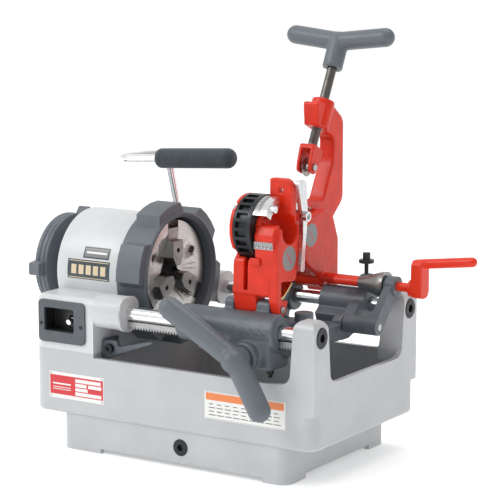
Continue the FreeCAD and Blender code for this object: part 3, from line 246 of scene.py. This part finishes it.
LOOKS = {
    "base_paint": paint("base_paint", (0.49, 0.505, 0.52), (0.38, 0.39, 0.40)),
    "head_paint": paint("head_paint", (0.63, 0.645, 0.66), (0.45, 0.46, 0.47)),
    "boss_paint": paint("boss_paint", (0.56, 0.57, 0.58), (0.42, 0.43, 0.44), peel=0.08),
    "slate_casting": painted_casting("slate_casting", (0.105, 0.125, 0.145), (0.22, 0.23, 0.24)),
    "slate_smooth": paint("slate_smooth", (0.115, 0.135, 0.155), (0.2, 0.21, 0.22), peel=0.09, coat=0.1,
                          rough=(0.42, 0.52)),
    "red_casting": painted_casting("red_casting", (0.70, 0.026, 0.006), (0.36, 0.02, 0.01), grain=0.13,
                                   rough=(0.3, 0.42), wear=0.4, coat=0.04, gloss=0.36),
    "red_smooth": paint("red_smooth", (0.74, 0.032, 0.008), (0.4, 0.03, 0.012), peel=0.06, coat=0.06,
                        gloss=0.36),
    "faced_steel": turned_metal("faced_steel", (0.66, 0.65, 0.63), (0.22, 0.42), SPINDLE),
    "wheel_iron": turned_metal("wheel_iron", (0.3, 0.31, 0.32), (0.35, 0.5), SPINDLE, rings=500.0),
    "ground_bar": drawn_metal("ground_bar", (0.78, 0.79, 0.80), (0.12, 0.22), ALONG_X, depth=0.004,
                              stain=0.15),
    "chrome": drawn_metal("chrome", (0.84, 0.85, 0.86), (0.08, 0.16), EVENLY, size=4.0, depth=0.004,
                          stain=0.08),
    "tool_steel": drawn_metal("tool_steel", (0.34, 0.34, 0.33), (0.28, 0.45), (1, 0.15, 1), size=1.2,
                              stain=0.5),
    "pin_steel": drawn_metal("pin_steel", (0.5, 0.5, 0.5), (0.24, 0.4), ALONG_X, stain=0.4),
    "gear_steel": drawn_metal("gear_steel", (0.42, 0.42, 0.42), (0.3, 0.48), EVENLY, size=1.5, stain=0.45),
    "oily_screw": drawn_metal("oily_screw", (0.16, 0.15, 0.14), (0.28, 0.5), EVENLY, size=2.5, stain=0.7),
    "black_oxide": drawn_metal("black_oxide", (0.035, 0.037, 0.042), (0.3, 0.5), EVENLY, size=3.0, stain=0.3,
                               metallic=0.7),
    "polished": drawn_metal("polished", (0.72, 0.73, 0.74), (0.16, 0.3), (1, 1, 0.12), size=1.5, depth=0.008,
                            stain=0.25),
    "foam": foam_grip("foam", (0.02, 0.031, 0.04)),
    "plastic": moulded_plastic("plastic", (0.085, 0.098, 0.112)),
    "black_plastic": moulded_plastic("black_plastic", (0.012, 0.013, 0.015), (0.3, 0.42)),
    "motor_shell": painted_casting("motor_shell", (0.35, 0.36, 0.37), (0.5, 0.5, 0.5), grain=0.1),
    "ink_white": ink("ink_white", (0.82, 0.82, 0.80)),
    "ink_red": ink("ink_red", (0.62, 0.012, 0.022)),
    "ink_orange": ink("ink_orange", (0.80, 0.22, 0.05)),
    "ink_dark": ink("ink_dark", (0.016, 0.02, 0.025)),
    "ink_slate": ink("ink_slate", (0.03, 0.05, 0.06)),
    "ink_grey": ink("ink_grey", (0.20, 0.20, 0.205)),
    "ink_cream": ink("ink_cream", (0.74, 0.60, 0.40)),
    "brass": drawn_metal("brass", (0.72, 0.56, 0.26), (0.2, 0.36), ALONG_X, size=1.5, stain=0.3),
}

SLOT_LOOK = {"light_paint": "base_paint", "dark_paint": "slate_casting", "red_paint": "red_casting",
             "steel": "pin_steel", "bright_steel": "chrome", "black_steel": "black_oxide", "rubber": "foam",
             "dark_plastic": "plastic", "toggle_metal": "chrome", "motor_case": "motor_shell"}
NODE_LOOK = {"headstock_case": "head_paint", "bar_bosses": "boss_paint", "chuck_body": "faced_steel",
             "rear_chuck_body": "wheel_iron", "front_guide_bar": "ground_bar", "rear_guide_bar": "ground_bar",
             "feed_rack": "gear_steel", "spindle_gear": "gear_steel", "countershaft": "gear_steel",
             "motor_pinion": "gear_steel", "gear_plate": "gear_steel", "cutter_wheel": "tool_steel",
             "reamer_cone": "tool_steel", "die_head_lever": "polished", "stop_arm_bolt": "black_oxide",
             "switch_screws": "black_oxide", "housing_screw": "black_oxide", "switch_box": "black_plastic",
             "hinge_lock_knob": "black_plastic", "feed_handle": "slate_smooth", "t_handle": "slate_smooth",
             "reamer_crank": "red_smooth", "chuck_hand_ring": "slate_smooth",
             "rear_chuck_wheel": "slate_smooth", "cutter_screw": "oily_screw"}
NODE_SLOT = {part["node"]: part["material_slot"] for part in RECORD["subparts"]}
for n in (1, 2, 3):
    NODE_LOOK[f"chuck_jaw_{n}"] = NODE_LOOK[f"rear_jaw_{n}"] = "tool_steel"
BODY_OF = {node: body for body, members in RECORD["behaviour"]["bodies"].items() for node in members}


def look_of(node):
    return LOOKS[NODE_LOOK.get(node, SLOT_LOOK[NODE_SLOT[node]])]


# ---------------------------------------------------------------- carried-over CAD nodes
def smooth_shading(mesh):
    mesh.polygons.foreach_set("use_smooth", [True] * len(mesh.polygons))


def machined(node, width):
    """Breaks the sharp edges of a CAD node by a few tenths of a millimetre, as a finished piece has."""
    piece = NODES[node]
    if "custom_normal" in piece.data.attributes:
        piece.data.attributes.remove(piece.data.attributes["custom_normal"])
    smooth_shading(piece.data)
    piece.data.materials.clear()
    piece.data.materials.append(look_of(node))
    weld = piece.modifiers.new("weld", "WELD")
    weld.merge_threshold = 1e-6
    flats = piece.modifiers.new("flats", "DECIMATE")
    flats.decimate_type = "DISSOLVE"
    flats.angle_limit = math.radians(0.5)
    edges = piece.modifiers.new("edges", "BEVEL")
    edges.width = width * MM
    edges.segments = 2
    edges.limit_method = "ANGLE"
    edges.angle_limit = math.radians(34)
    edges.use_clamp_overlap = True
    piece.modifiers.new("normals", "WEIGHTED_NORMAL")


# ---------------------------------------------------------------- new pieces
def settle(piece):
    """Applies the piece's modifiers to its mesh."""
    graph = bpy.context.evaluated_depsgraph_get()
    mesh = bpy.data.meshes.new_from_object(piece.evaluated_get(graph))
    piece.modifiers.clear()
    piece.data = mesh
    smooth_shading(mesh)


def new_piece(name, mesh, look, body):
    piece = bpy.data.objects.new(name, mesh)
    bpy.context.scene.collection.objects.link(piece)
    if look is not None:
        mesh.materials.clear()
        mesh.materials.append(LOOKS[look])
    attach(piece, body)
    return piece


def casting(node, voxel, rounds):
    """A copy of a CAD casting with its corners rounded off, as metal poured in sand has them."""
    mesh = NODES[node].data.copy()
    piece = new_piece(node + "_cast", mesh, None, BODY_OF[node])
    skin = piece.modifiers.new("skin", "REMESH")
    skin.mode = "VOXEL"
    skin.voxel_size = voxel * MM
    skin.adaptivity = 0.0
    flow = piece.modifiers.new("flow", "SMOOTH")
    flow.factor = 0.5
    flow.iterations = rounds
    settle(piece)
    piece.data.materials.clear()
    piece.data.materials.append(look_of(node))
    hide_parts(node)


def from_bmesh(name, build, look, body):
    mesh = bpy.data.meshes.new(name)
    work = bmesh.new()
    build(work)
    bmesh.ops.recalc_face_normals(work, faces=work.faces)
    work.to_mesh(mesh)
    work.free()
    return new_piece(name, mesh, look, body)


def skin(work, rings):
    """Skins a row of closed rings of vertices and caps both ends."""
    for low, high in zip(rings, rings[1:]):
        for n in range(len(low)):
            m = (n + 1) % len(low)
            work.faces.new((low[n], low[m], high[m], high[n]))
    work.faces.new(list(reversed(rings[0])))
    work.faces.new(rings[-1])


def around(axis, origin, along, radius, angle):
    """A point round an axis; the angle starts from a fixed side direction."""
    side = axis.orthogonal().normalized()
    other = axis.cross(side)
    return origin + axis * along + (side * math.cos(angle) + other * math.sin(angle)) * radius


def threaded_rod(name, node, joint, look):
    """A screw with a rounded thread, on the axis of a joint, as long as its CAD node."""
    pitch, depth, sides = 3 * MM, 1 * MM, 40
    lead_in, fade_in, smooth_top, fade_out = 8 * MM, 3 * MM, 62 * MM, 4 * MM
    neck_long, neck_deep = 7 * MM, 2 * MM
    axis, origin = -joint_axis(joint), joint_point(joint)
    reach = [(vertex.co - origin).dot(axis) for vertex in NODES[node].data.vertices]
    radii = [((vertex.co - origin) - axis * (vertex.co - origin).dot(axis)).length
             for vertex in NODES[node].data.vertices]
    low, high, outer = min(reach), max(reach), max(radii)

    def build(work):
        steps = int((high - low) / (pitch / 10))
        rings = []
        for step in range(steps + 1):
            along = low + (high - low) * step / steps
            thread = min(1.0, max(0.0, (along - low - lead_in) / fade_in),
                         max(0.0, (high - smooth_top - along) / fade_out))
            neck = neck_deep * max(0.0, 1 - (along - low) / neck_long)
            ring = []
            for n in range(sides):
                angle = 2 * math.pi * n / sides
                phase = ((along / pitch - n / sides) % 1.0) * 2 - 1
                groove = depth * max(0.0, 1 - 1.5 * abs(phase)) * thread
                ring.append(work.verts.new(around(axis, origin, along, outer - neck - groove, angle)))
            rings.append(ring)
        skin(work, rings)

    piece = from_bmesh(name, build, look, BODY_OF[node])
    smooth_shading(piece.data)
    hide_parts(node)


def printed(name, surface, blocks, body):
    """Thin printed layers on a surface. A block is (u0, u1, v0, v1, bottom, top, look), in millimetres."""
    looks = list(dict.fromkeys(block[-1] for block in blocks))

    def build(work):
        for u0, u1, v0, v1, low, high, look in blocks:
            steps = max(1, math.ceil((v1 - v0) / 3))
            rings = []
            for step in range(steps + 1):
                v = v0 + (v1 - v0) * step / steps
                rings.append([work.verts.new(surface(*corner)) for corner in
                              ((u0, v, low), (u1, v, low), (u1, v, high), (u0, v, high))])
            before = len(work.faces)
            skin(work, rings)
            work.faces.ensure_lookup_table()
            for face in work.faces[before:]:
                face.material_index = looks.index(look)

    piece = from_bmesh(name, build, None, body)
    for look in looks:
        piece.data.materials.append(LOOKS[look])


def flat_surface(corner, right, up):
    """Maps (u, v, height) in millimetres onto a plane."""
    out = right.cross(up)
    return lambda u, v, height: corner + (right * u + up * v + out * height) * MM


def lathe(work, origin, axis, profile, sides):
    """Skins a profile of (along, radius) points in millimetres, turned about an axis."""
    skin(work, [[work.verts.new(around(axis, origin, along * MM, radius * MM, 2 * math.pi * n / sides))
                 for n in range(sides)] for along, radius in profile])


def soften(piece, width, segments):
    """Rounds the piece's edges by a width in millimetres."""
    smooth_shading(piece.data)
    edges = piece.modifiers.new("edges", "BEVEL")
    edges.width, edges.segments = width * MM, segments
    piece.modifiers.new("normals", "WEIGHTED_NORMAL")


X, Y, Z = Vector((1, 0, 0)), Vector((0, 1, 0)), Vector((0, 0, 1))


NAMEPLATE_WIDE, NAMEPLATE_TALL, RIVET_INSET = 96, 38, 2.8
NAMEPLATE_CORNER = Vector((spot(-205.5, 0, 0).x, BASE_LOW.y, 74 * MM))


def nameplate():
    """Plain red and white plate on the base's front, with blank fields."""
    blocks = [(0, NAMEPLATE_WIDE, 0, NAMEPLATE_TALL, 0, 0.35, "ink_white"),
              (1, NAMEPLATE_WIDE - 1, 5.5, 33.5, 0.3, 0.42, "ink_red")]
    fields = ((46, 91, 26, 31), (46, 66, 19.5, 24.5), (69, 92, 19.5, 24.5), (46, 68, 13.5, 18),
              (46, 92, 7, 12), (6, 38, 20, 22.2), (6, 38, 15.6, 16.6), (6, 38, 12.6, 13.6))
    blocks += [(*field, 0.4, 0.5, "ink_white") for field in fields]
    printed("nameplate", flat_surface(NAMEPLATE_CORNER, X, Z), blocks, "frame")


def nameplate_rivets():
    """Four small domed rivets that hold the nameplate."""
    profile = ((-0.2, 1.5), (0.45, 1.5), (0.85, 1.0), (1.0, 0.3))
    far, top = NAMEPLATE_WIDE - RIVET_INSET, NAMEPLATE_TALL - RIVET_INSET
    places = ((RIVET_INSET, RIVET_INSET), (far, RIVET_INSET), (RIVET_INSET, top), (far, top))
    for n, (u, v) in enumerate(places):
        origin = NAMEPLATE_CORNER + (X * u + Z * v) * MM
        rivet = from_bmesh(f"nameplate_rivet_{n + 1}", lambda work: lathe(work, origin, -Y, profile, 20),
                           "pin_steel", "frame")
        soften(rivet, 0.25, 2)


def care_label():
    """White label with an orange band and rows of plain bars."""
    wide, tall = 129, 38.5
    rows, row_pitch, bars, bar_pitch = 4, 5, 9, 13
    corner = Vector((spot(62, 0, 0).x, BASE_LOW.y, 78.5 * MM))
    blocks = [(0, wide, 0, tall, 0, 0.15, "ink_white"), (2, wide - 2, 26.5, 36.5, 0.14, 0.2, "ink_orange")]
    for row in range(rows):
        low = 20.5 - row_pitch * row
        for n in range(bars):
            left = 7 + bar_pitch * n
            long = 7 + (n * 5 + row * 3) % 5
            blocks.append((left, left + long, low, low + 1.1, 0.14, 0.18, "ink_dark"))
    blocks += [(1, wide - 1, low, low + 0.3, 0.14, 0.17, "ink_dark") for low in (0.8, 37.4)]
    printed("care_label", flat_surface(corner, X, Z), blocks, "frame")


def barrel_badge():
    """Plain dark badge wrapped on the headstock's barrel."""
    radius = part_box("headstock_case")[1].z - SPINDLE.z
    left = spot(-216, 0, 0).x

    def surface(u, v, height):
        angle = v * MM / radius
        out = radius + height * MM
        return Vector((left + u * MM, SPINDLE.y - out * math.cos(angle), SPINDLE.z + out * math.sin(angle)))

    blocks = [(0, 75, -6, 22, 0.0, 0.2, "ink_slate"), (2, 73, -4.6, -3.6, 0.18, 0.24, "ink_cream"),
              (2, 73, 19.4, 20.4, 0.18, 0.24, "ink_cream")]
    blocks += [(7 + 13 * n, 16 + 13 * n, 1, 14.5, 0.18, 0.26, "ink_cream") for n in range(5)]
    blocks += [(26, 72, 25, 42, 0.0, 0.2, "ink_slate"), (28, 70, 27, 40, 0.18, 0.24, "ink_grey"),
               (31, 67, 32, 35, 0.22, 0.28, "ink_white")]
    printed("barrel_badge", surface, blocks, "frame")


def round_label(name, centre, radius, body):
    """Plain grey disc with a slanted red bar, on a face that looks along +X."""
    profile = ((-0.3, radius), (0.16, radius), (0.22, radius - 0.3))
    from_bmesh(name, lambda work: lathe(work, centre, X, profile, 48), "ink_grey", body)
    slant = (Y * -0.62 + Z * 0.78).normalized()
    across = slant.cross(X).normalized()
    half_wide, half_long = 0.9, 0.55 * radius
    corner = centre - slant * half_long * MM - across * half_wide * MM
    bar = [(0, 2 * half_wide, 0, 2 * half_long, 0.2, 0.3, "ink_red")]
    printed(name + "_bar", flat_surface(corner, across, slant), bar, body)


def die_head_scale():
    """Grey scale plate on the die head's front, with plain ticks, and a cast pad below it."""
    up = Vector((0, -0.102, 0.995))
    corner = spot(130.6, -124.3, 316)
    wide, tall, rim = 29, 10, 0.8
    blocks = [(0, wide, 0, tall, -0.6, 1.2, "pin_steel"),
              (rim, wide - rim, rim, tall - rim, 1.1, 1.3, "ink_grey")]
    for n in range(9):
        left = 2.5 + 3 * n
        blocks.append((left, left + 0.6, 5.4 - 1.6 * (n % 2), 8.6, 1.25, 1.38, "ink_white"))
    blocks += [(3 + 6 * n, 6 + 6 * n, 1.8, 2.6, 1.25, 1.38, "ink_white") for n in range(4)]
    printed("die_head_scale", flat_surface(corner, X, up), blocks, "die_head")
    rounded_block("die_head_pad", spot(131, -124, 298), (8, 1.8, 5), "red_casting", "die_head",
                  1.7)


def rounded_block(name, centre, half, look, body, radius):
    """A block with well-rounded edges; half holds its half sizes in millimetres."""
    def build(work):
        corners = [[work.verts.new(centre + Vector((sx * half[0], sy * half[1], sz * half[2])) * MM)
                    for sx, sz in ((-1, -1), (1, -1), (1, 1), (-1, 1))] for sy in (-1, 1)]
        skin(work, corners)

    soften(from_bmesh(name, build, look, body), radius, 4)


def swept_strip(name, spots, width, thick, look, body):
    """A bent strip of sheet metal through points of the Y-Z plane, `width` across along X."""
    def build(work):
        rings = []
        for n, here in enumerate(spots):
            ahead = (spots[min(n + 1, len(spots) - 1)] - spots[max(n - 1, 0)]).normalized()
            out = ahead.cross(X)
            rings.append([work.verts.new(here + (X * u * width / 2 + out * v * thick / 2) * MM)
                          for u, v in ((-1, -1), (1, -1), (1, 1), (-1, 1))])
        skin(work, rings)

    soften(from_bmesh(name, build, look, body), 0.4, 2)


def coil_spring(name, low, high, radius, wire, turns, look, body):
    """A coil of round wire from low to high."""
    axis, reach = (high - low).normalized(), (high - low).length
    sides, per_turn = 8, 20

    def build(work):
        rings = []
        total = turns * per_turn
        for step in range(total + 1):
            angle = 2 * math.pi * step / per_turn
            here = around(axis, low, reach * step / total, radius * MM, angle)
            out = (here - low) - axis * (here - low).dot(axis)
            out.normalize()
            rings.append([work.verts.new(here + (out * math.cos(a) + axis * math.sin(a)) * wire * MM)
                          for a in [2 * math.pi * n / sides for n in range(sides)]])
        skin(work, rings)

    smooth_shading(from_bmesh(name, build, look, body).data)


def die_head_latch():
    """Brass tongue in the window above the hinge, with the small spring under it."""
    spots = [spot(158, y, z) for y, z in ((-108, 247.5), (-100, 251), (-91, 257.5), (-83, 264), (-80, 266))]
    swept_strip("latch_tongue", spots, 10, 2.6, "brass", "die_head")
    coil_spring("latch_spring", spot(158, -110, 243.8), spot(158, -93, 246.8), 2.2, 0.5, 8, "pin_steel",
                "die_head")


def cam_scale():
    """Grey steel scale round the selector plate, with engraved ticks; v is in degrees here."""
    centre = joint_point("die_cam_turn")
    radius = 44.0

    def surface(u, v, height):
        angle = math.radians(v)
        out = (radius + height) * MM
        return Vector((spot(130.0, 0, 0).x + u * MM, centre.y + out * math.cos(angle),
                       centre.z + out * math.sin(angle)))

    blocks = [(0, 8.5, 98, 149, -0.3, 0.4, "tool_steel")]
    for n in range(12):
        low = 101 + 4 * n
        blocks.append((1.2, 5.5 - 2 * (n % 2), low, low + 0.7, 0.35, 0.46, "ink_white"))
    printed("cam_scale", surface, blocks, "cam")


# ---------------------------------------------------------------- build
# castings: the voxel size in millimetres and the rounds of smoothing
CAST_NODES = {"t_handle": (1.4, 6), "feed_handle": (1.5, 8), "cutter_frame": (1.3, 4),
              "die_head_body": (1.2, 3), "carriage": (1.5, 3), "reamer_crank": (1.1, 4),
              "cutter_holder": (0.9, 3), "carry_handle_grip": (1.1, 4), "stop_arm": (1.0, 3)}
# machined pieces: the width of the broken edge in millimetres, where it isn't the usual one
USUAL_EDGE = 0.35
EDGE_WIDTHS = {"base_casting": 1.0, "headstock_case": 0.8, "chuck_hand_ring": 1.2, "chuck_body": 0.4,
               "rear_chuck_wheel": 0.8, "bar_bosses": 0.8, "countershaft": 0.1, "motor_pinion": 0.1,
               "spindle_gear": 0.1, "feed_rack": 0.1, "pinion_shaft": 0.1, "cutter_wheel": 0.1,
               "die_cam_ring": 0.5, "switch_plate": 0.8, "switch_screws": 0.3, "carry_handle_rod": 0.3,
               "reamer_arm": 0.9, "die_head_lever": 0.3}
for node in NODES:
    if node in CAST_NODES:
        voxel, rounds = CAST_NODES[node]
        casting(node, voxel, rounds)
    elif node != "cutter_screw":
        machined(node, EDGE_WIDTHS.get(node, USUAL_EDGE))
threaded_rod("cutter_screw_thread", "cutter_screw", "screw_turn", "oily_screw")
nameplate()
care_label()
barrel_badge()
nameplate_rivets()
die_head_scale()
die_head_latch()
cam_scale()
round_label("die_head_label", spot(165, -92, 301), 17, "die_head")
round_label("cutter_label", spot(92, 88, 303), 17, "cutter")


# ---------------------------------------------------------------- floor, light and camera
# lengths in metres, the lens in millimetres
FLOOR_WIDE = 60
SKY_DIM_SIDE = (0.75, -0.15, 0.25)
LAMPS = (("key", (-1.6, -2.2, 2.6), 1.4, 40), ("top", (0.3, 0.6, 3.0), 1.6, 24),
         ("side", (2.8, -1.2, 1.4), 1.0, 5))  # name, place, size in metres, watts
LAMP_AIM = Vector((0, 0, 0.25))
CAMERA_AZIMUTH, CAMERA_ELEVATION, CAMERA_DISTANCE = math.radians(32.62), math.radians(9.36), 2.793
CAMERA_AIM = Vector((0.001, -0.002, 0.286))
FOCAL_LENGTH, SENSOR_WIDTH = 141.4, 36.0


def stand(name, data, place, facing):
    """Puts a lamp or a camera at a place, looking along a direction."""
    holder = bpy.data.objects.new(name, data)
    holder.location = place
    holder.rotation_euler = facing.to_track_quat("-Z", "Y").to_euler()
    bpy.context.scene.collection.objects.link(holder)
    return holder


def white_floor():
    """White paper that glows a little, so that it stays white in the shade."""
    bpy.ops.mesh.primitive_plane_add(size=FLOOR_WIDE, location=(0, 0, 0))
    floor = bpy.context.object
    floor.name = "floor"
    made, tree, shader, where = start("floor_paper")
    paper = blend(tree, span(tree, clouds(tree, where, 300), *NOISE_SPAN, 0.0, 1.0), (0.95, 0.95, 0.95, 1.0),
                  (0.97, 0.97, 0.97, 1.0))
    tree.links.new(paper, shader.inputs["Base Color"])
    shader.inputs["Roughness"].default_value = 0.8
    shader.inputs["Emission Color"].default_value = (1, 1, 1, 1)
    shader.inputs["Emission Strength"].default_value = 0.3
    floor.data.materials.append(made)


def studio():
    """Three lamps, and a sky that is full white but for its dim side, above and to the right."""
    world = bpy.data.worlds.new("studio_air")
    world.use_nodes = True
    air = world.node_tree
    sky = air.nodes["Background"]
    sky.inputs["Color"].default_value = (1, 1, 1, 1)
    way = add(air, "ShaderNodeTexCoord").outputs["Generated"]
    facing = add(air, "ShaderNodeVectorMath", {0: way, 1: SKY_DIM_SIDE},
                 operation="DOT_PRODUCT").outputs["Value"]
    air.links.new(span(air, facing, -0.3, 0.7, 1.0, 0.42), sky.inputs["Strength"])
    bpy.context.scene.world = world
    bpy.context.scene.view_settings.view_transform = "Standard"
    for name, place, size, power in LAMPS:
        lamp = bpy.data.lights.new(name, "AREA")
        lamp.shape, lamp.size, lamp.energy = "SQUARE", size, power
        stand(name, lamp, place, LAMP_AIM - Vector(place))


def camera():
    """A long lens from the photo's side."""
    level = math.cos(CAMERA_ELEVATION)
    back = Vector((math.sin(CAMERA_AZIMUTH) * level, -math.cos(CAMERA_AZIMUTH) * level,
                   math.sin(CAMERA_ELEVATION)))
    lens = bpy.data.cameras.new("camera")
    lens.lens, lens.sensor_width = FOCAL_LENGTH, SENSOR_WIDTH
    bpy.context.scene.camera = stand("camera", lens, CAMERA_AIM + back * CAMERA_DISTANCE, -back)


white_floor()
studio()
camera()
